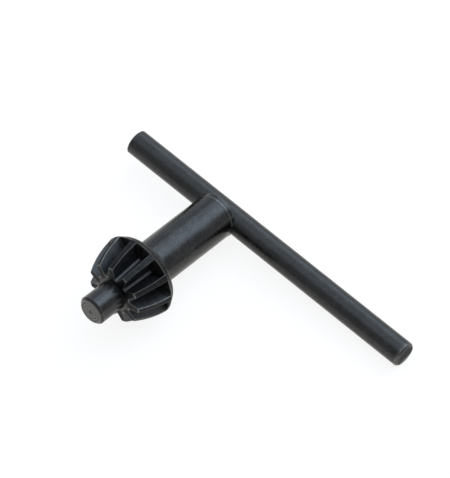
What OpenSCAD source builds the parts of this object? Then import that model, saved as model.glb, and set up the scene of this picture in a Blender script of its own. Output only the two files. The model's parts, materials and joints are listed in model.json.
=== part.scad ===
// Drill chuck key: a turned and toothed key body with a round handle bar
// welded across the end of its shank. It lies on a bench as it comes to rest,
// on the widest part of its pinion, the collar of its shank and the end of its
// long arm. The surface is Z = 0 and the origin lies under the middle of the
// footprint. The pilot points towards -Y and the long arm towards +X.

/* [Handle bar] */
// Diameter of the round bar
bar_dia = 5.6; // [4.5:0.1:7]
// Long arm, from the shank's axis to the bar's end
long_arm = 50.7; // [40:0.1:70]
// Short arm, from the shank's axis to the bar's end
short_arm = 24.9; // [15:0.1:40]
// Broken edge at the end of the long arm
bar_chamfer = 0.4; // [0.2:0.05:1]
// Sharp burr left at the end of the short arm is broken this much
bar_deburr = 0.15; // [0.1:0.05:0.5]

/* [Shank] */
// Diameter of the shank
shank_dia = 9.9; // [8.4:0.1:12]
// Step up from the shank to the low collar that is upset round the weld
collar_step = 0.1; // [0.05:0.05:0.4]
// Length of the collar, from the shank's end face
collar_len = 1.2; // [0.8:0.1:2]
// Depth that the bar beds into the end of the shank
saddle_depth = 1.6; // [0.8:0.1:2]
// Width of the broken edge round the shank's end, along its axis
end_chamfer_len = 0.2; // [0.1:0.05:0.6]
// Height of the same broken edge, across the axis
end_chamfer_high = 0.2; // [0.1:0.05:0.6]
// Length of the shank, from its end face to the flare
shank_len = 21; // [12:0.1:30]

/* [Pinion] */
// Number of bevel teeth
teeth = 11; // [9:1:12]
// Turn of the first tooth from the long arm, about the shank
tooth_phase = 7; // [-16:1:16]
// Diameter over the back of the rim behind the teeth
rim_dia = 16.8; // [15.6:0.1:18]
// Radius that rounds the back of the rim
rim_round = 0.4; // [0.3:0.05:0.8]
// Length of the flare from the shank to the middle of the rim's rounding
flare_len = 2; // [1.4:0.1:5]
// Smooth band from the rim's rounding to the tooth gaps
rim_band = 1.2; // [0.8:0.05:1.8]
// Diameter over the heel, where the tooth gaps begin
heel_dia = 18.5; // [17.4:0.1:19.4]
// Length of the teeth along the axis
tooth_len = 7.3; // [6:0.1:10]
// Diameter over the toe, at the teeth's front ends
toe_dia = 13.6; // [12.8:0.1:14.4]
// How far the tooth lands bow out of a straight cone
land_crown = 0.35; // [0.1:0.05:0.7]
// Radius between the lands and the front face
toe_round = 0.5; // [0.2:0.05:1]
// How far the teeth's front ends stand back from the pilot's foot
toe_setback = 0.3; // [0.1:0.05:0.8]
// Diameter across the gap floors at the heel
floor_heel_dia = 11.8; // [10.8:0.1:12.6]
// Diameter across the gap floors at the toe
floor_toe_dia = 9.1; // [8.2:0.1:9.8]
// Width of a gap's floor
floor_w = 0.7; // [0.4:0.05:1]
// Angle of each tooth flank to the middle of the gap
flank_angle = 26.5; // [22:0.5:30]
// Lean of the wall that closes a gap, forwards at its foot
heel_wall_lean = 10; // [0:1:20]

/* [Pilot] */
// Diameter of the pilot
pilot_dia = 6.5; // [5.5:0.1:7.5]
// Length of the pilot from the front face
pilot_len = 6.5; // [4:0.1:12]
// Broken edge at the pilot's end
pilot_chamfer = 0.55; // [0.2:0.05:1]

/* [Hidden] */
$fn = 96;

bar_r = bar_dia / 2;
shank_r = shank_dia / 2;
collar_r = shank_r + collar_step;
heel_r = heel_dia / 2;
toe_r = toe_dia / 2;
pilot_r = pilot_dia / 2;
tooth_pitch = 360 / teeth;

// Stations along the shank, counted from the bar's axis towards the pilot
shank_end = bar_r - saddle_depth;
collar_end = shank_end + collar_len;
flare_at = shank_end + shank_len;
rim_at = flare_at + flare_len;
heel_at = rim_at + rim_band;
toe_at = heel_at + tooth_len;
pilot_foot = toe_at + toe_setback;
pilot_end = pilot_foot + pilot_len;

// Outline of the turned blank, as radius and station
arc_steps = 6;
function arc_points(centre, radius, from, to) =
    [for (i = [0:arc_steps])
        let (a = from + (to - from) * i / arc_steps)
        centre + radius * [cos(a), sin(a)]];

// Angle on an arc at which a straight line from a point touches it: the line
// comes before the arc where side is -1 and after it where side is 1
function touch_angle(centre, radius, point, side) =
    let (run = point - centre)
    atan2(run[1], run[0]) - side * acos(radius / norm(run));

// Back of the rim: an arc between the flare and the band that runs to the heel
rim_centre = [rim_dia / 2 - rim_round, rim_at];
rim_from = touch_angle(rim_centre, rim_round, [shank_r, flare_at], -1);
rim_to = touch_angle(rim_centre, rim_round, [heel_r, heel_at], 1);

// Lands: a shallow arc through the heel and the toe
land_run = [toe_r - heel_r, tooth_len];
land_half_chord = norm(land_run) / 2;
land_radius = (pow(land_half_chord, 2) + pow(land_crown, 2)) / (2 * land_crown);
land_dir = atan2(land_run[1], land_run[0]);
land_centre = [heel_r, heel_at] + land_run / 2
    + (land_crown - land_radius) * [sin(land_dir), -cos(land_dir)];
land_from = land_dir - 90 - asin(land_half_chord / land_radius);

// Toe: an arc between the lands and the cone that falls back from the pilot
toe_rise = toe_at - toe_round - land_centre[1];
toe_centre = land_centre
    + [sqrt(pow(land_radius - toe_round, 2) - pow(toe_rise, 2)), toe_rise];
toe_from = atan2(toe_rise, toe_centre[0] - land_centre[0]);
toe_to = touch_angle(toe_centre, toe_round, [pilot_r, pilot_foot], 1);

blank_outline = concat(
    [[0, shank_end],
     [collar_r - end_chamfer_high, shank_end],
     [collar_r, shank_end + end_chamfer_len],
     [collar_r, collar_end],
     [shank_r, collar_end + collar_step],
     [shank_r, flare_at]],
    arc_points(rim_centre, rim_round, rim_from, rim_to),
    arc_points(land_centre, land_radius, land_from, toe_from),
    arc_points(toe_centre, toe_round, toe_from, toe_to),
    [[pilot_r, pilot_foot],
     [pilot_r, pilot_end - pilot_chamfer],
     [pilot_r - pilot_chamfer, pilot_end],
     [0, pilot_end]]);

// Rest on a flat surface: the key tips until the widest part of the pinion and
// the collar at the shank's end both touch, and leans about the shank until the
// long arm does
shank_points = [for (p = blank_outline) if (p[1] < flare_at) p];
pinion_points = [for (p = blank_outline) if (p[1] > flare_at) p];
function slope_from(edge) =
    max([for (p = pinion_points) atan2(p[0] - edge[0], p[1] - edge[1])]);
tip = min([for (edge = shank_points) slope_from(edge)]);
rest_height = max([for (edge = shank_points) edge[0] * cos(tip) - edge[1] * sin(tip)]);
arm_reach = long_arm - bar_chamfer;
arm_drop = asin(rest_height / norm([arm_reach, bar_r])) - atan2(bar_r, arm_reach);
lean = asin(sin(arm_drop) / cos(tip));

// Extents of the key as it lies: both ends of the bar, the pilot's end face
// and the back of the bar
x_max = long_arm * cos(lean) + (bar_r - bar_chamfer) * sin(lean);
x_min = -short_arm * cos(lean) - (bar_r - bar_deburr) * sin(lean);
y_min = -pilot_end * cos(tip) - (pilot_r - pilot_chamfer) * sin(tip);
y_max = (short_arm - bar_deburr) * sin(lean) * sin(tip)
    + bar_r * norm([cos(tip), cos(lean) * sin(tip)]);
footprint_middle = [(x_min + x_max) / 2, (y_min + y_max) / 2];

// Lays the key down from the frame in which the bar runs along X and the
// shank along -Y, both through the origin
module at_rest() {
    translate([-footprint_middle[0], -footprint_middle[1], rest_height])
        rotate([-tip, 0, 0])
        rotate([0, lean, 0])
        children();
}

// Turns a shape that stands on Z so that it runs out along the shank
module along_shank() {
    rotate([90, 0, 0]) children();
}

// One tooth gap: a straight trapezoid cut that follows the floor's slope and
// stops at the leaning heel wall
module tooth_gap() {
    floor_slope = atan2((floor_heel_dia - floor_toe_dia) / 2, tooth_len);
    reach = heel_r;
    top_w = floor_w + 2 * reach * tan(flank_angle);
    wall_run = heel_r * tan(heel_wall_lean);
    intersection() {
        translate([floor_heel_dia / 2, 0, heel_at])
            rotate([0, -floor_slope, 0])
            translate([0, 0, -reach])
            linear_extrude(height = reach + 2 * tooth_len)
            polygon([[0, -floor_w / 2], [reach, -top_w / 2],
                     [reach, top_w / 2], [0, floor_w / 2]]);
        rotate([90, 0, 0])
            linear_extrude(height = 2 * top_w, center = true)
            polygon([[0, heel_at + wall_run], [2 * heel_r, heel_at - wall_run],
                     [2 * heel_r, pilot_end], [0, pilot_end]]);
    }
}

module key_body() {
    color("#25282c")
    at_rest()
    difference() {
        along_shank()
        difference() {
            rotate_extrude() polygon(blank_outline);
            for (i = [0:teeth - 1])
                rotate([0, 0, tooth_phase + (i + 0.5) * tooth_pitch]) tooth_gap();
        }
        handle_round();
    }
}

// The bar's plain round, which also forms the saddle that it beds into
module handle_round() {
    translate([-short_arm, 0, 0])
        rotate([0, 90, 0])
        cylinder(r = bar_r, h = short_arm + long_arm);
}

module handle_bar() {
    bar_len = short_arm + long_arm;
    color("#2b2e33")
    at_rest()
    translate([-short_arm, 0, 0])
    rotate([0, 90, 0])
    rotate_extrude()
        polygon([[0, 0], [bar_r - bar_deburr, 0], [bar_r, bar_deburr],
                 [bar_r, bar_len - bar_chamfer], [bar_r - bar_chamfer, bar_len], [0, bar_len]]);
}

key_body();
handle_bar();
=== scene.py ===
# %% [markdown]
# # A drill chuck key in blackened steel
# The object is a chuck key: a round bar welded across the end of a turned
# shank, which ends in a bevel pinion and a plain pilot. The measured model is
# already there as a fixed frame, with two solids, `key_body` and `handle_bar`.
# This file gives both their finished surfaces: broken edges, rounded tooth
# lands, pockets with a corner radius, and steel with a black oxide finish.

# %% Load the measured model
import json
import bpy
import numpy as np
from mathutils import Matrix, Vector


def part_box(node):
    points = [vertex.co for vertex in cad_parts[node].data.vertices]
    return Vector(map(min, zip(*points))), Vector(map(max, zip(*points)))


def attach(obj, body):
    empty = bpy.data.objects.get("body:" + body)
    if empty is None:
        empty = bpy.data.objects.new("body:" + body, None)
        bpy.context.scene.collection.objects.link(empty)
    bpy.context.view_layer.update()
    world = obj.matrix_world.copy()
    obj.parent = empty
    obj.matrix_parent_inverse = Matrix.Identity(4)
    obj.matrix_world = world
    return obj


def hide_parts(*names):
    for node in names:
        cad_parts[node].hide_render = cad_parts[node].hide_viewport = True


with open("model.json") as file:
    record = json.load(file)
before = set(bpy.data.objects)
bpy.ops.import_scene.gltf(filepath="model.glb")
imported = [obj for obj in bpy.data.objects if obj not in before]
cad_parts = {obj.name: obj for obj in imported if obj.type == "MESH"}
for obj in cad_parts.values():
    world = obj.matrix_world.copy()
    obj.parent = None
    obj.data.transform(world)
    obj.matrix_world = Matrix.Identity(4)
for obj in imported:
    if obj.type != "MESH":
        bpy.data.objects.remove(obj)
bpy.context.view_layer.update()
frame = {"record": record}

# %% [markdown]
# ## The camera
# The photograph was taken from high up with a long lens, so the bar and the
# shank hardly converge. Its place and direction were fitted to the straight
# edges and the round ends. A camera can be aimed with a constraint or with
# angles. Here its three axes are written down, because they carry the slight
# roll as well, and the matrix is then exact.

# %% The camera
CAMERA_AT = Vector((0.24777, -0.24174, 0.56469))
RIGHT = Vector((0.73422, 0.67842, -0.02586))
DOWN = Vector((0.56031, -0.62702, -0.54121))
LENS_MM = 242.4                      # on a 36 mm sensor, along the longer side

camera_data = bpy.data.cameras.new("camera")
camera_data.lens, camera_data.sensor_width = LENS_MM, 36.0
camera_data.clip_start, camera_data.clip_end = 0.05, 20.0
camera = bpy.data.objects.new("camera", camera_data)
bpy.context.collection.objects.link(camera)
right = RIGHT.normalized()
up = (-DOWN - right * right.dot(-DOWN)).normalized()
camera.matrix_world = Matrix.Translation(CAMERA_AT) @ Matrix(
    (right, up, right.cross(up))).transposed().to_4x4()
bpy.context.scene.camera = camera
print("camera looks along", [round(v, 3) for v in -right.cross(up)])

# %% [markdown]
# ## Small helpers for materials
# Colours are easiest to read as the hex values of a paint chart, but the
# shader works in linear light, so one function turns them. Another adds a node
# with its settings and links in one line, which keeps each material short.

# %% Colour and node helpers
def linear(hex_colour):
    """sRGB hex to linear RGBA: values up to 0.04045 are divided by 12.92, the others are ((v + 0.055) / 1.055) ^ 2.4."""
    v = np.array([int(hex_colour[i:i + 2], 16) for i in (1, 3, 5)]) / 255.0
    v = np.where(v <= 0.04045, v / 12.92, ((v + 0.055) / 1.055) ** 2.4)
    return (*v.tolist(), 1.0)


def add(tree, kind, settings=None, **links):
    """Adds a node. settings are its own properties or socket values, and links join its sockets to other nodes' outputs."""
    node = tree.nodes.new(kind)
    for name, value in (settings or {}).items():
        if name in node.inputs:
            node.inputs[name].default_value = value
        else:
            setattr(node, name, value)
    for name, source in links.items():
        socket = node.inputs[int(name[1:])] if name[0] == "i" and name[1:].isdigit() else node.inputs[name]
        tree.links.new(source, socket)
    return node


print("black steel in linear light", [round(v, 4) for v in linear("#3a3f46")])

# %% [markdown]
# ## The table and the light
# The photograph is a packshot on white. A large soft light stands above and
# behind the key and draws one soft band along the bar and the shank. The room
# in front is dim, so the steel turns nearly black below that band, and the
# white table shows again in the lowest edge. The table is a plain plane. Its
# material glows white only for the camera and for reflections, so the key
# isn't lit by more than the lamps, and it is lit by them too, so that the
# key's own shadow stays.

# %% The table
floor_mesh = bpy.data.meshes.new("table")
corners = 3.0 * np.array([(-1, -1, 0), (1, -1, 0), (1, 1, 0), (-1, 1, 0)])
floor_mesh.from_pydata(corners.tolist(), [], [(0, 1, 2, 3)])
floor = bpy.data.objects.new("table", floor_mesh)
bpy.context.collection.objects.link(floor)

table_material = bpy.data.materials.new("matt white table")
table_material.use_nodes = True
tree = table_material.node_tree
tree.nodes.clear()
path = add(tree, "ShaderNodeLightPath")
seen = add(tree, "ShaderNodeMath", {"operation": "ADD", "use_clamp": True},
           i0=path.outputs["Is Camera Ray"], i1=path.outputs["Is Glossy Ray"])
seen = add(tree, "ShaderNodeMath", {"operation": "ADD", "use_clamp": True},
           i0=seen.outputs[0], i1=path.outputs["Is Transmission Ray"])
glow_strength = add(tree, "ShaderNodeMath", {"operation": "MULTIPLY"}, i0=seen.outputs[0])
glow_strength.inputs[1].default_value = 0.86
paper = add(tree, "ShaderNodeMix", {"data_type": "RGBA"}, i0=path.outputs["Is Camera Ray"])
paper.inputs[6].default_value = (1, 0.985, 0.93, 1)
paper.inputs[7].default_value = (1, 1, 1, 1)
glow = add(tree, "ShaderNodeEmission", Color=paper.outputs[2], Strength=glow_strength.outputs[0])
matt = add(tree, "ShaderNodeBsdfDiffuse", {"Color": (0.21, 0.21, 0.21, 1)})
both = add(tree, "ShaderNodeAddShader", i0=glow.outputs[0], i1=matt.outputs[0])
add(tree, "ShaderNodeOutputMaterial", Surface=both.outputs[0])
floor_mesh.materials.append(table_material)

# %% The lights
def soft_light(name, place, aim, width, height, power, tint):
    """A rectangular area light at place, turned so that it faces aim. Power is in watts."""
    data = bpy.data.lights.new(name, "AREA")
    data.shape, data.size, data.size_y, data.energy, data.color = "RECTANGLE", width, height, power, tint
    light = bpy.data.objects.new(name, data)
    light.location = place
    light.rotation_euler = (Vector(aim) - Vector(place)).to_track_quat("-Z", "Y").to_euler()
    bpy.context.collection.objects.link(light)
    return light


DAYLIGHT = (0.69, 0.85, 1.0)
soft_light("back softbox", (0.02, 1.08, 0.74), (0, 0, 0.01), 1.6, 1.0, 8.6, DAYLIGHT)
soft_light("softbox middle", (0.20, 0.85, 0.92), (0, 0, 0.01), 0.6, 0.5, 1.0, DAYLIGHT)
soft_light("overhead panel", (0.0, 0.1, 1.30), (0, 0, 0.01), 1.3, 1.3, 4.5, DAYLIGHT)
soft_light("left panel", (-1.15, 0.36, 0.44), (0, 0, 0.01), 1.4, 0.8, 1.9, DAYLIGHT)

room = bpy.data.worlds.new("dim room")
room.use_nodes = True
room.node_tree.nodes["Background"].inputs["Color"].default_value = (0.96, 0.98, 1.0, 1)
room.node_tree.nodes["Background"].inputs["Strength"].default_value = 0.48
bpy.context.scene.world = room
bpy.context.scene.view_settings.view_transform = "Standard"

# %% [markdown]
# ## Where the key lies
# It is easier to describe the key in its own upright frame: the bar along X,
# the shank along -Y, both through one point. On the table the key rests on its
# pinion and its collar and leans until its long arm touches. The two angles and the
# lift are those of the measured model, so each surface worked out below goes
# through this one function and lands where the solid is.

# %% From the key's own frame to the table
TIP = np.radians(9.92625)            # the shank's slope, pilot upwards
LEAN = np.radians(2.23835)           # the bar's slope, long arm downwards
LIFT = np.array([-12.8853, 18.2038, 4.73307])


def laid_down(points):
    """Turns points in mm by LEAN about Y, by -TIP about X, lifts them, and gives metres."""
    x, y, z = points[..., 0], points[..., 1], points[..., 2]
    x, z = x * np.cos(LEAN) + z * np.sin(LEAN), z * np.cos(LEAN) - x * np.sin(LEAN)
    y, z = y * np.cos(TIP) + z * np.sin(TIP), z * np.cos(TIP) - y * np.sin(TIP)
    return (np.stack([x, y, z], axis=-1) + LIFT) / 1000.0


pilot_axis = frame["record"]["mounts"][0]["axis"]
print("pilot axis in the record", [round(v, 4) for v in pilot_axis],
      "here", [0.0, round(-np.cos(TIP), 4), round(np.sin(TIP), 4)])

# %% [markdown]
# ## A closed surface from a grid
# Both pieces are round about an axis, so both are grids: rows follow the
# outline from one end to the other and columns go round. The last column joins
# the first, and one point closes each end, so the mesh is a closed skin. The
# grid also gets a UV map, with the way round across and the distance along the
# outline up, in units of 10 mm, because turning marks run the way of the lathe.

# %% Grid to mesh
def closed_skin(name, grid, distance, finish):
    """grid is rows x columns x 3 in metres. Face (i, j) joins rows i, i+1 and columns j, j+1 (mod columns); its corners' UV is (j / columns, distance i). A fan joins each end row to its own mean point. finish holds arrays of one value a grid point, which become the attributes that the material reads."""
    rows, cols = grid.shape[:2]
    i, j = np.meshgrid(np.arange(rows - 1), np.arange(cols), indexing="ij")
    k = (j + 1) % cols
    quads = np.stack([i * cols + j, i * cols + k, (i + 1) * cols + k, (i + 1) * cols + j], -1)
    quads = quads.reshape(-1, 4)
    quad_u = np.stack([j, j + 1, j + 1, j], -1).reshape(-1) / cols
    quad_v = distance[np.stack([i, i, i + 1, i + 1], -1)].reshape(-1)
    ring = np.arange(cols)
    after = (ring + 1) % cols
    first, last = rows * cols, rows * cols + 1
    start_fan = np.stack([np.full(cols, first), after, ring], -1)
    end_fan = np.stack([np.full(cols, last), ring + (rows - 1) * cols, after + (rows - 1) * cols], -1)
    points = np.vstack([grid.reshape(-1, 3), grid[0].mean(0), grid[-1].mean(0)])
    fan_u = np.stack([ring + 0.5, ring + 1, ring], -1) / cols
    end_u = np.stack([ring + 0.5, ring, ring + 1], -1) / cols
    first_gap = np.linalg.norm(grid[0, 0] - grid[0].mean(0)) * 100
    last_gap = np.linalg.norm(grid[-1, 0] - grid[-1].mean(0)) * 100
    fan_v = np.tile([distance[0] - first_gap, distance[0], distance[0]], cols)
    end_v = np.tile([distance[-1] + last_gap, distance[-1], distance[-1]], cols)
    mesh = bpy.data.meshes.new(name)
    mesh.from_pydata(points, [], quads.tolist() + start_fan.tolist() + end_fan.tolist())
    uv = mesh.uv_layers.new(name="turned")
    uv.data.foreach_set("uv", np.stack([
        np.concatenate([quad_u, fan_u.ravel(), end_u.ravel()]),
        np.concatenate([quad_v, fan_v, end_v])], -1).ravel())
    for label, values in finish.items():
        layer = mesh.attributes.new(label, "FLOAT", "POINT")
        ends = [values[0].mean(), values[-1].mean()]
        layer.data.foreach_set("value", np.concatenate([values.ravel(), ends]).astype(np.float32))
    mesh.shade_smooth()
    piece = bpy.data.objects.new(name, mesh)
    bpy.context.collection.objects.link(piece)
    triangles = np.vstack([quads[:, :3], quads[:, [0, 2, 3]], start_fan, end_fan])
    a, b, c = (1000 * points[triangles[:, k]] for k in range(3))
    area = np.linalg.norm(np.cross(b - a, c - a), axis=1) / 2
    volume = np.sum(a * np.cross(b, c)) / 6      # above 0 when the faces look outwards
    print(name, len(triangles), "triangles, volume", round(volume, 1), "mm3, smallest face", area.min(), "mm2")
    return piece


# %% [markdown]
# ## Outlines with broken edges
# No real edge is perfectly sharp: each one is tumbled or deburred, and the
# small round is what catches the light. So an outline is written as corners
# with a radius each, and one function puts the arcs in. The same function
# serves the turned body and the bar.

# %% Rounded outline
ARC_STEPS, LEAD = 4, 0.04


def rounded(corners):
    """corners are (radius from the axis, station, edge radius) in mm. Each edge radius e starts e * tan(turn / 2) before its corner and is an arc of that turn. One more point LEAD away on both straights keeps the smooth shading to the arc."""
    c = np.array(corners, float)
    run = np.diff(c[:, :2], axis=0)
    heading = np.arctan2(run[:, 1], run[:, 0])
    turn = (np.diff(heading) + np.pi) % (2 * np.pi) - np.pi
    e = c[1:-1, 2]
    back = e * np.tan(np.abs(turn) / 2)
    into, out_of = [np.stack([np.cos(h), np.sin(h)], -1) for h in (heading[:-1], heading[1:])]
    start = c[1:-1, :2] - back[:, None] * into
    side = np.sign(turn)
    centre = start + (side * e)[:, None] * np.stack([-np.sin(heading[:-1]), np.cos(heading[:-1])], -1)
    share = np.linspace(0, 1, ARC_STEPS + 1)
    angle = (heading[:-1] - side * np.pi / 2)[:, None] + turn[:, None] * share
    arcs = centre[:, None, :] + e[:, None, None] * np.stack([np.cos(angle), np.sin(angle)], -1)
    arcs = np.concatenate([arcs[:, :1] - LEAD * into[:, None], arcs, arcs[:, -1:] + LEAD * out_of[:, None]], 1)
    arcs = np.where((e > 0)[:, None, None], arcs, c[1:-1, None, :2])
    return np.vstack([c[:1, :2], arcs.reshape(-1, 2), c[-1:, :2]])


def along(outline):
    """Distance along an outline, the running sum of its steps."""
    return np.concatenate([[0], np.cumsum(np.linalg.norm(np.diff(outline, axis=0), axis=1))])


print("arc steps at each broken edge:", ARC_STEPS)

# %% [markdown]
# ## The turned body's outline
# A lathe turns the blank in one go: end face, low collar, shank, the flared
# back of the rim, the lands of the teeth, the front face and the pilot. The
# stations are counted in mm from the bar's axis. The lands bow slightly out of a straight
# cone, which is why the pinion looks like a bulb and not like a cone.

# %% Sizes of the turned body
SHANK_END, FLARE_AT, HEEL_AT, TOE_AT, PILOT_FOOT, PILOT_END = 1.2, 22.2, 25.4, 32.7, 33.0, 39.5
BAR_R, COLLAR_R, SHANK_R, HEEL_R, TOE_R, PILOT_R = 2.8, 5.05, 4.95, 9.25, 6.8, 3.25
LAND_CROWN = 0.35


def crowned_land(steps):
    """Points on the arc through heel and toe whose middle stands LAND_CROWN out: the straight line plus crown * 4 t (1 - t) across it."""
    t = np.linspace(0, 1, steps)[1:-1, None]
    heel, toe = np.array([HEEL_R, HEEL_AT]), np.array([TOE_R, TOE_AT])
    run = toe - heel
    across = np.array([run[1], -run[0]]) / np.linalg.norm(run)
    return heel + run * t + across * LAND_CROWN * 4 * t * (1 - t)


lands = [(r, s, 0.0) for r, s in crowned_land(26)]
body_outline = rounded(
    [(0.3, SHANK_END, 0), (COLLAR_R - 0.2, SHANK_END, 0.1), (COLLAR_R, SHANK_END + 0.2, 0.1),
     (COLLAR_R, 2.4, 0.1), (SHANK_R, 2.5, 0.1), (SHANK_R, FLARE_AT, 1.5),
     (8.27, 23.89, 0.42), (HEEL_R, HEEL_AT, 0.16)] + lands
    + [(TOE_R, TOE_AT, 0.4), (PILOT_R, PILOT_FOOT, 0.06), (PILOT_R, PILOT_END - 0.55, 0.2),
       (PILOT_R - 0.55, PILOT_END, 0.2), (0.62, PILOT_END, 0.1), (0.34, PILOT_END - 0.12, 0.1),
       (0.12, PILOT_END - 0.14, 0)])
body_along = along(body_outline)
print("outline points", len(body_outline), "length", round(body_along[-1], 1), "mm")

# %% [markdown]
# ## Rows and columns that follow the teeth
# A pocket between two teeth has a narrow floor, two leaning flanks and a wall
# behind. A plain grid would cut across those edges and blur them. So the rows
# are packed where the back wall stands, and the columns of every row slide
# round until they lie on the pocket's own edges: some on the floor, some on
# each flank and some on the land.

# %% Rows along the outline
def distance_at(station):
    """Distance along the outline at which it first reaches a station."""
    hit = np.nonzero(body_outline[:, 1] >= station)[0][0]
    s0, s1 = body_outline[hit - 1, 1], body_outline[hit, 1]
    share = (station - s0) / (s1 - s0)
    return body_along[hit - 1] + share * (body_along[hit] - body_along[hit - 1])


marks = [0.0, 2.23, distance_at(SHANK_END + 0.01), distance_at(BAR_R), distance_at(20.5), distance_at(23.0),
         distance_at(25.15), distance_at(25.36), distance_at(26.15), distance_at(31.9),
         distance_at(32.95), distance_at(38.6), distance_at(39.45), body_along[-1]]
steps = [2, 9, 10, 8, 5, 8, 3, 34, 22, 22, 8, 4, 18]
even_rows = [np.linspace(a, b, n + 1) for a, b, n in zip(marks[:-1], marks[1:], steps)]
rows_at = np.unique(np.concatenate(even_rows + [body_along]))
rows_at = rows_at[np.concatenate([[True], np.diff(rows_at) > 0.015])]
outline_r = np.interp(rows_at, body_along, body_outline[:, 0])
outline_s = np.interp(rows_at, body_along, body_outline[:, 1])
print(len(rows_at), "rows")

# %% Sizes of the pockets
TEETH, TOOTH_PHASE = 11, np.radians(7.0)
FLOOR_W, FLANK, WALL_LEAN = 0.7, np.radians(26.5), np.radians(10)
FLOOR_HEEL_R, FLOOR_TOE_R = 5.9, 4.55
HALF_PITCH = np.pi / TEETH
EDGE_BLEND, FOOT_BLEND = 0.2, 0.3    # how far the rounds reach, in mm of height

station = np.clip(outline_s, HEEL_AT - 0.4, PILOT_FOOT + 0.2)[:, None]
floor_fall = (FLOOR_HEEL_R - FLOOR_TOE_R) / (TOE_AT - HEEL_AT)
floor_r = FLOOR_HEEL_R - floor_fall * (station - HEEL_AT)
flank_run = np.tan(FLANK) * np.cos(np.arctan(floor_fall))
wall_r = HEEL_R - (station - HEEL_AT) / np.tan(WALL_LEAN)


def soft_max(a, b, blend):
    """The larger of two heights, with a round of the reach blend where they cross: max + h^2 blend / 4, h = 1 - |a - b| / blend where that is above 0."""
    return np.maximum(a, b) + np.maximum(1 - np.abs(a - b) / blend, 0) ** 2 * blend / 4


bed_r = soft_max(floor_r, wall_r, FOOT_BLEND)
print("pocket depth at the heel", HEEL_R - FLOOR_HEEL_R, "mm and at the toe", TOE_R - FLOOR_TOE_R, "mm")

# %% Columns that slide onto the pocket's edges
FLOOR_SHARE = np.array([0, 0.5, 0.82, 1])
FLANK_SHARE = np.array([0.05, 0.14, 0.35, 0.6, 0.82, 0.93, 0.975, 1])
LAND_SHARE = np.array([0.07, 0.18, 0.4, 0.7, 1])

half_floor = FLOOR_W / 2 + (np.minimum(bed_r, outline_r[:, None]) - floor_r) * flank_run
on_floor = np.arctan2(np.maximum(half_floor, FLOOR_W / 2), np.minimum(bed_r, outline_r[:, None]))
reach = np.maximum(np.minimum(outline_r[:, None], HEEL_R), floor_r)
b = FLOOR_W / 2 - floor_r * flank_run
height = (-b * flank_run + np.sqrt(reach ** 2 * (1 + flank_run ** 2) - b ** 2)) / (1 + flank_run ** 2)
on_land = np.arctan2(b + height * flank_run, height)
on_floor = np.minimum(on_floor, on_land)
slid = np.hstack([on_floor * FLOOR_SHARE, on_floor + (on_land - on_floor) * FLANK_SHARE,
                  on_land + (HALF_PITCH - on_land) * LAND_SHARE])
even = HALF_PITCH * np.linspace(0, 1, slid.shape[1])
slid = 0.96 * slid + 0.04 * even
both_sides = np.hstack([-slid[:, :0:-1], slid[:, :-1]])
centres = TOOTH_PHASE + (np.arange(TEETH) + 0.5) * 2 * HALF_PITCH
turn = (centres[None, :, None] + both_sides[:, None, :]).reshape(len(rows_at), -1)
from_middle = np.tile(np.abs(both_sides), (1, TEETH))
print(turn.shape[1], "columns")

# %% [markdown]
# ## The surface of the body
# Each point's distance from the axis is the least of what the lathe left and
# what the cutter left. The cutter leaves the higher of the pocket's bed and
# its flank. Where two of them meet they are blended over a few tenths of a
# millimetre, as a worn cutter and a tumbling drum would.

# %% Body surface
def cut_height(angle):
    """What the cutter leaves: the bed is a flat, bed / cos(angle); the flank is the line x = floor/2 + (h - floor height) * flank_run in polar form."""
    bed = bed_r / np.cos(angle)
    flank = -b / (np.cos(angle) * flank_run - np.sin(angle))
    return soft_max(bed, flank, FOOT_BLEND)


left_by_cutter = cut_height(from_middle)
radius = -soft_max(-outline_r[:, None], -left_by_cutter, EDGE_BLEND)
radius = np.where(outline_s[:, None] > PILOT_FOOT - 0.05, outline_r[:, None], radius)
radius = np.where(outline_s[:, None] < HEEL_AT - 0.1, outline_r[:, None], radius)
seat = np.sqrt(np.maximum((BAR_R - 0.02) ** 2 - (radius * np.sin(turn)) ** 2, 0))
beside_bar = np.interp(seat, [2.4, 2.5], [COLLAR_R, SHANK_R])       # no collar where the bar has cut it away
radius = np.where(outline_s[:, None] < seat, np.minimum(radius, beside_bar), radius)
x, z = radius * np.cos(turn), radius * np.sin(turn)
seat = np.sqrt(np.maximum((BAR_R - 0.02) ** 2 - z ** 2, 0))
apart = 0.0003 * np.arange(len(rows_at))[:, None]      # keeps the rows that the seat pushes together in order
s = np.maximum(outline_s[:, None], np.where(np.abs(z) < BAR_R, seat + apart, 0))

# %% Where the body's finish is worn, and where highlights, shade and light are painted
def near(distance, places, reach=0.13):
    """For each (place, share): share * exp(-((distance - place) / reach)^2); the largest of them."""
    return np.max([w * np.exp(-((distance - d) / reach) ** 2) for d, w in places], axis=0)


corner_at = body_along[1 + (ARC_STEPS + 3) // 2::ARC_STEPS + 3]
round_worn = near(rows_at, [(corner_at[i], share) for i, share in ((5, 0.4), (-6, 0.8), (-4, 0.15), (-3, 0.35))])
# Painted highlight: the shank's end edges are lighter only on the side where the light falls.
end_edge_highlight = near(rows_at, [(corner_at[0], 0.4), (corner_at[1], 0.9)])[:, None] * np.cos((turn + 0.35) / 2) ** 6
# Painted highlight: the collar's edge is lighter only on the side where the light falls.
collar_edge_highlight = near(rows_at, [(corner_at[2], 0.85)])[:, None] * np.cos((turn - 1.6) / 2) ** 8
face_rings = (outline_s > PILOT_END - 0.02) * np.maximum(0.1 + 0.5 * np.cos(2 * np.pi * outline_r / 0.62), 0)
on_crest = np.clip(1 - (outline_r[:, None] - radius) / 0.12, 0, 1)
on_edge = np.maximum(1 - np.abs(outline_r[:, None] - left_by_cutter) / 0.2, 0)
toothed = ((outline_s > HEEL_AT - 0.1) & (outline_s < PILOT_FOOT - 0.05))[:, None]
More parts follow.
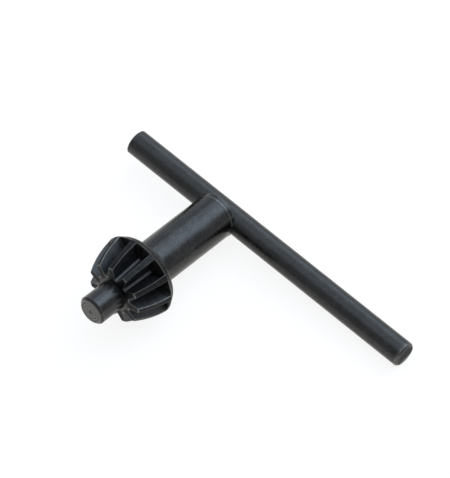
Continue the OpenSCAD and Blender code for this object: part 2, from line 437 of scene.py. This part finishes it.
# Painted highlight: a bright line along the crease where the shank meets the bar, on one side only.
crease_highlight = 0.9 * np.exp(-((outline_s[:, None] - seat) / 0.16) ** 2) * np.cos((turn - 0.4) / 2) ** 16 * (seat > SHANK_END)
# The worn crests and tooth edges and the face's turning rings are real wear and marks; the shank end, collar and crease
# lines in this mask are painted highlights.
body_wear_and_highlight = np.maximum.reduce([crease_highlight, round_worn[:, None] * on_crest, end_edge_highlight, collar_edge_highlight, on_edge * toothed,
                                 face_rings[:, None] + 0 * turn])
# Painted shade: the lands' middles, the back of the rim and the pilot's foot are darkened, and the material also makes
# them duller and less reflective there.
from_land = np.clip((from_middle - on_land.max(1)[:, None]) / (HALF_PITCH - on_land.max(1)[:, None] + 1e-6), 0, 1)
land_painted_shade = toothed * np.clip(from_land / 0.35, 0, 1)
band_painted_shade = np.exp(-(((outline_s - 24.75) / 0.5) ** 2))[:, None]
foot_painted_shade = 0.8 * (outline_s > PILOT_FOOT)[:, None] * np.exp(-(((outline_s - 33.4) / 0.9) ** 2))[:, None]
body_painted_shade = np.maximum(0.9 * land_painted_shade * on_crest, np.maximum(0.9 * band_painted_shade, foot_painted_shade))
ground_pilot = np.clip((outline_s - PILOT_FOOT) / 2.5, 0, 1) * (outline_s < PILOT_END - 0.02)
# In the pockets the cut faces are rougher, which is real, and lighter in colour, which is painted light.
in_front_of_wall = np.clip((outline_s - 25.9) / 0.8, 0, 1)[:, None]
body_milled_and_painted_light = toothed * np.clip((outline_r[:, None] - radius) / 0.4, 0, 1) * in_front_of_wall
body = closed_skin("turned_body", laid_down(np.stack([x, -s, z], -1)), rows_at / 10,
                   {"paler": body_wear_and_highlight, "ground": ground_pilot[:, None] + 0 * turn, "painted_shade": body_painted_shade,
                    "milled_and_painted_light": body_milled_and_painted_light})

# %% [markdown]
# ## The handle bar
# The bar is drawn round stock, cropped to length. The end of the long arm is
# chamfered and the other end only deburred. It is the same kind of grid,
# turned about X.

# %% Bar surface
LONG_ARM, SHORT_ARM, BAR_SIDES = 50.7, 24.9, 128
bar_outline = rounded([(0.4, -SHORT_ARM, 0), (BAR_R, -SHORT_ARM, 0.16),
                       (BAR_R, LONG_ARM - 0.42, 0.3), (BAR_R - 0.4, LONG_ARM, 0.14), (0.4, LONG_ARM, 0)])
bar_along = along(bar_outline)
bar_rows = np.unique(np.concatenate([bar_along, np.linspace(0, bar_along[-1], 120)]))
r = np.interp(bar_rows, bar_along, bar_outline[:, 0])[:, None]
run = np.interp(bar_rows, bar_along, bar_outline[:, 1])[:, None]
round_angle = np.linspace(0, 2 * np.pi, BAR_SIDES, endpoint=False)[None, :]
bar_points = np.stack([run + 0 * round_angle, r * np.cos(round_angle), r * np.sin(round_angle)], -1)
bar_corner_at = bar_along[1 + (ARC_STEPS + 3) // 2::ARC_STEPS + 3]
bar_wear_and_glint = near(bar_rows, [(bar_corner_at[i], share) for i, share in ((0, 0.6), (1, 0.7), (2, 0.5))], 0.16)
on_end = (bar_rows > bar_corner_at[2])[:, None]
# The bar's rounded ends are real wear; on the long arm's end face one side is made lighter, a painted glint.
glint_side = np.clip(((r / BAR_R) * np.cos(round_angle + 1.35) - 0.35) / 0.35, 0, 1)
bar_wear_and_glint = np.maximum(bar_wear_and_glint[:, None], on_end * (0.1 + 0.8 * glint_side))
# Painted shade: the other side of that end face is darkened.
bar_painted_shade = on_end * (1 - glint_side)
bar = closed_skin("drawn_bar", laid_down(bar_points), bar_rows / 10, {"paler": bar_wear_and_glint, "ground": 0 * bar_wear_and_glint, "painted_shade": bar_painted_shade, "milled_and_painted_light": 0 * bar_wear_and_glint})

# %% [markdown]
# ## Black oxide on steel
# The finish is a hot black oxide bath: the steel itself turns to a thin dark
# layer, so it keeps every mark of the cutting. It reflects little, slightly
# blue, and it is brighter and greyer where edges rub. A metal shader with a
# dark colour gives that. Four patterns lie on it. The lathe's marks are fine
# rings, so they read only the distance along the outline. A cloud in Object
# coordinates varies colour and roughness as oil and handling do. Flecks are
# the coarse crystals of the bath, and long thin scratches come from tumbling.
# Last, the attributes worked out with each shape bare the worn edges, paint
# highlights on one side of some edges and of the bar's end, paint shade on the
# lands' middles, the back of the rim, the pilot's foot and the bar's end, and
# paint the pockets lighter.

# %% Blackened steel
def blackened_steel(name, colour, paler, bare, roughness, ring_mm, ring_depth, flecked):
    """Metal of a dark colour. Rings are noise of the distance along the outline alone, ring_mm wide. A cloud in space
    runs the colour from colour to the next, paler argument and varies the roughness. Flecks and scratches lighten it.
    One attribute, broken by grain, runs it to bare on worn edges and also paints highlights on one side of some edges.
    Another paints shade: near-black, rougher and less reflective. A third makes the pockets rougher and paints them
    lighter.
    """
    material = bpy.data.materials.new(name)
    material.use_nodes = True
    tree = material.node_tree
    tree.nodes.clear()
    uv = add(tree, "ShaderNodeUVMap", {"uv_map": "turned"})
    space = add(tree, "ShaderNodeTexCoord")
    height_only = add(tree, "ShaderNodeMapping", {"Scale": (0.0, 1.0, 0.0)}, Vector=uv.outputs[0])
    rings = add(tree, "ShaderNodeTexNoise", {"Scale": 10.0 / ring_mm, "Detail": 3.0, "Roughness": 0.7},
                Vector=height_only.outputs[0])
    cloud = add(tree, "ShaderNodeTexNoise", {"Scale": 1000.0 / 3.0, "Detail": 4.0, "Roughness": 0.65},
                Vector=space.outputs["Object"])
    # The crystals are a few hundredths of a millimetre. They are drawn ten times as coarse, to show.
    grain = add(tree, "ShaderNodeTexNoise", {"Scale": 1000.0 / 0.45, "Detail": 3.0, "Roughness": 0.6},
                Vector=space.outputs["Object"])
    # Scratches are drawn 0.15 mm wide and 2.5 mm long, on a slant across the piece.
    slanted = add(tree, "ShaderNodeMapping", {"Rotation": (0.5, 0.35, 0.9), "Scale": (1 / 0.15, 1 / 2.5, 1 / 0.15)},
                  Vector=space.outputs["Object"])
    scratch = add(tree, "ShaderNodeTexNoise", {"Scale": 1000.0, "Detail": 2.0, "Roughness": 0.6},
                  Vector=slanted.outputs[0])
    patchy = add(tree, "ShaderNodeMapRange", {"From Min": 0.30, "From Max": 0.70}, Value=cloud.outputs[0])
    tone = add(tree, "ShaderNodeMix", {"data_type": "RGBA"}, i0=patchy.outputs[0])
    tone.inputs[6].default_value = linear(colour)
    tone.inputs[7].default_value = linear(paler)
    fleck = add(tree, "ShaderNodeMapRange", {"From Min": 0.54, "From Max": 0.74, "To Max": flecked},
                Value=grain.outputs[0])
    line = add(tree, "ShaderNodeMapRange", {"From Min": 0.60, "From Max": 0.72, "To Max": flecked},
               Value=scratch.outputs[0])
    either = add(tree, "ShaderNodeMath", {"operation": "MAXIMUM"}, i0=fleck.outputs[0], i1=line.outputs[0])
    ground = add(tree, "ShaderNodeAttribute", {"attribute_name": "ground"})
    unground = add(tree, "ShaderNodeMapRange", {"To Min": 1.0, "To Max": 0.3}, Value=ground.outputs["Fac"])
    marks = add(tree, "ShaderNodeMath", {"operation": "MULTIPLY"}, i0=either.outputs[0], i1=unground.outputs[0])
    # This attribute bares worn edges, which is real wear, and also paints highlights on one side of some edges.
    wear_and_highlight = add(tree, "ShaderNodeAttribute", {"attribute_name": "paler"})
    broken = add(tree, "ShaderNodeMapRange", {"From Min": 0.30, "From Max": 0.62, "To Min": 0.25},
                 Value=scratch.outputs[0])
    bared_and_highlit = add(tree, "ShaderNodeMath", {"operation": "MULTIPLY"}, i0=wear_and_highlight.outputs["Fac"], i1=broken.outputs[0])
    lighter = add(tree, "ShaderNodeMath", {"operation": "MAXIMUM"}, i0=marks.outputs[0], i1=bared_and_highlit.outputs[0])
    # This attribute marks painted shade: there the colour runs towards near-black, the roughness rises and the
    # reflection is dimmed.
    shade_attribute = add(tree, "ShaderNodeAttribute", {"attribute_name": "painted_shade"})
    streaky = add(tree, "ShaderNodeMapRange", {"From Min": 0.35, "From Max": 0.60, "To Min": 0.35, "To Max": 0.8},
                  Value=scratch.outputs[0])
    painted_shade = add(tree, "ShaderNodeMath", {"operation": "MULTIPLY"}, i0=shade_attribute.outputs["Fac"], i1=streaky.outputs[0])
    # This attribute marks the pockets: rougher cut faces, which is real, and a lighter colour, which is painted light.
    milled_and_painted_light = add(tree, "ShaderNodeAttribute", {"attribute_name": "milled_and_painted_light"})
    uneven = add(tree, "ShaderNodeMapRange", {"From Min": 0.35, "From Max": 0.65, "To Min": 0.55}, Value=cloud.outputs[0])
    share = add(tree, "ShaderNodeMath", {"operation": "MULTIPLY"}, i0=milled_and_painted_light.outputs["Fac"], i1=uneven.outputs[0])
    # Painted light: the pockets' colour runs towards a lighter grey.
    pocket_painted_light = add(tree, "ShaderNodeMix", {"data_type": "RGBA"}, i0=share.outputs[0], i6=tone.outputs[2])
    pocket_painted_light.inputs[7].default_value = linear("#505256")
    # Painted shade: the colour runs towards near-black.
    shaded = add(tree, "ShaderNodeMix", {"data_type": "RGBA"}, i0=painted_shade.outputs[0], i6=pocket_painted_light.outputs[2])
    shaded.inputs[7].default_value = linear("#1c1d1f")
    skin = add(tree, "ShaderNodeMix", {"data_type": "RGBA"}, i0=lighter.outputs[0], i6=shaded.outputs[2])
    skin.inputs[7].default_value = linear(bare)
    dullness = add(tree, "ShaderNodeMapRange", {"From Min": 0.3, "From Max": 0.7,
                                                "To Min": roughness - 0.06, "To Max": roughness + 0.08},
                   Value=cloud.outputs[0])
    smoothed = add(tree, "ShaderNodeMapRange", {"To Min": 0.0, "To Max": 0.08}, Value=ground.outputs["Fac"])
    # Rougher where the shade is painted.
    dulled_in_painted_shade = add(tree, "ShaderNodeMapRange", {"To Min": 0.0, "To Max": 0.12}, Value=shade_attribute.outputs["Fac"])
    less = add(tree, "ShaderNodeMath", {"operation": "SUBTRACT"}, i0=dullness.outputs[0], i1=smoothed.outputs[0])
    cut_dulls = add(tree, "ShaderNodeMapRange", {"To Min": 0.0, "To Max": 0.10}, Value=milled_and_painted_light.outputs["Fac"])
    more = add(tree, "ShaderNodeMath", {"operation": "ADD"}, i0=dulled_in_painted_shade.outputs[0], i1=cut_dulls.outputs[0])
    dull = add(tree, "ShaderNodeMath", {"operation": "ADD"}, i0=less.outputs[0], i1=more.outputs[0])
    etch = add(tree, "ShaderNodeBump", {"Strength": 0.6, "Distance": 0.00002}, Height=grain.outputs[0])
    turned = add(tree, "ShaderNodeBump", {"Strength": 1.0, "Distance": ring_depth},
                 Height=rings.outputs[0], Normal=etch.outputs[0])
    # The reflection's tint is dimmed where the shade is painted.
    grazing = add(tree, "ShaderNodeMix", {"data_type": "RGBA"}, i0=painted_shade.outputs[0])
    grazing.inputs[6].default_value = (1, 1, 1, 1)
    grazing.inputs[7].default_value = (0.3, 0.3, 0.3, 1)
    steel = add(tree, "ShaderNodeBsdfPrincipled", {"Metallic": 1.0},
                **{"Base Color": skin.outputs[2], "Roughness": dull.outputs[0], "Normal": turned.outputs[0],
                   "Specular Tint": grazing.outputs[2]})
    add(tree, "ShaderNodeOutputMaterial", Surface=steel.outputs[0])
    return material


turned_steel = blackened_steel("black oxide on turned steel", "#39393a", "#474748", "#9c9c9b", 0.29, 0.45, 0.000014, 0.11)
drawn_steel = blackened_steel("black oxide on drawn bar", "#3a3a3a", "#454546", "#888888", 0.31, 2.2, 0.000006, 0.12)
body.data.materials.append(turned_steel)
bar.data.materials.append(drawn_steel)
print("materials", [m.name for m in (turned_steel, drawn_steel)])

# %% [markdown]
# ## Handing the pieces over
# Each surface stands for its measured solid and rides on the one body. Last,
# the two boxes are printed side by side.

# %% Ride, replace and measure
for piece, node, slot in ((body, "key_body", "body_steel"), (bar, "handle_bar", "bar_steel")):
    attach(piece, "root")
    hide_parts(node)
    found = np.array([v.co for v in piece.data.vertices])
    low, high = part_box(node)
    print(node, "solid", np.round(1000 * np.array([low, high]), 2).tolist(),
          "surface", np.round(1000 * np.array([found.min(0), found.max(0)]), 2).tolist())
